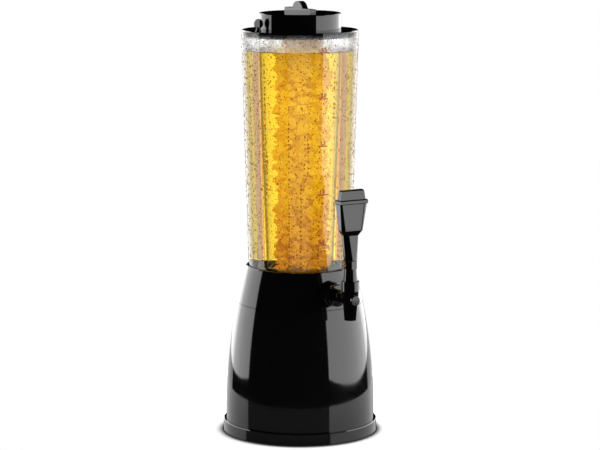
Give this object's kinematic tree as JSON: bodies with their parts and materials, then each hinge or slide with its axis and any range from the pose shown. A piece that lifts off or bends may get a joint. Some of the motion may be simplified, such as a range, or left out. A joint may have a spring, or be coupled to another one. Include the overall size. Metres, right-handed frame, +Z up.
{
  "type": "beer tower dispenser",
  "caption": "Table-top drink tower: a clear tapered reservoir with a hanging ice chamber on a bell-shaped black base with a lever tap.",
  "frame": {"origin": "middle of the flat underside of the foot pad, on the tower's axis", "axes": "+Z up along the tower's axis; the tap and its handle stand out towards -Y; the vent plug is on the -X side of the lid"},
  "size_m": [0.18, 0.2157, 0.5037],
  "materials": {
    "gloss_black_abs": "gloss moulded ABS",
    "clear_san": "clear moulded SAN",
    "rubber": "matte rubber",
    "silicone": "translucent silicone",
    "screw_steel": "zinc plated",
    "white_acetal": "acetal"
  },
  "bodies": {
    "tower": {"non_slip_pad": "rubber", "foot": "gloss_black_abs", "foot_screws": "screw_steel", "base_shell": "gloss_black_abs", "collar_screws": "screw_steel", "base_collar": "gloss_black_abs", "reservoir_gasket": "silicone", "reservoir_tube": "clear_san", "inner_washer": "silicone", "collar_washer": "silicone", "shank_nut": "gloss_black_abs", "outer_washer": "rubber", "tap_shank": "gloss_black_abs", "tap_body": "gloss_black_abs", "tap_bonnet": "gloss_black_abs", "tap_front_cap": "gloss_black_abs"},
    "lever": {"tap_lever": "gloss_black_abs", "handle_lock_nut": "gloss_black_abs", "tap_handle": "gloss_black_abs"},
    "valve": {"valve_piston": "white_acetal", "valve_seal": "silicone"},
    "lid": {"lid_disc": "gloss_black_abs", "lid_seal": "silicone"},
    "vent": {"vent_plug": "gloss_black_abs"},
    "ice_chamber": {"ice_tube": "clear_san", "ice_tube_seal": "silicone"},
    "ice_cap": {"ice_cap": "gloss_black_abs", "cap_grip": "gloss_black_abs"}
  },
  "joints": [
    {"name": "lever_tilt", "type": "hinge", "parent": "tower", "child": "lever", "pos_m": [0, -0.114, 0.1901], "axis": [1, 0, 0], "range_deg": [0, 18]},
    {"name": "valve_slide", "type": "slide", "parent": "tower", "child": "valve", "axis": [0, 1, 0], "range_m": [0, 0.00526]},
    {"name": "lid_lift", "type": "slide", "parent": "tower", "child": "lid", "axis": [0, 0, 1], "range_m": [0, 0.3]},
    {"name": "vent_pull", "type": "slide", "parent": "lid", "child": "vent", "axis": [0, 0, 1], "range_m": [0, 0.012]},
    {"name": "ice_lift", "type": "slide", "parent": "lid", "child": "ice_chamber", "axis": [0, 0, 1], "range_m": [0, 0.3]},
    {"name": "cap_twist", "type": "hinge", "parent": "ice_chamber", "child": "ice_cap", "pos_m": [0, 0, 0.48], "axis": [0, 0, 1], "range_deg": [0, 60]}
  ],
  "couplings": [
    {"joint": "valve_slide", "follows": "lever_tilt", "m_per_rad": 0.016722}
  ]
}
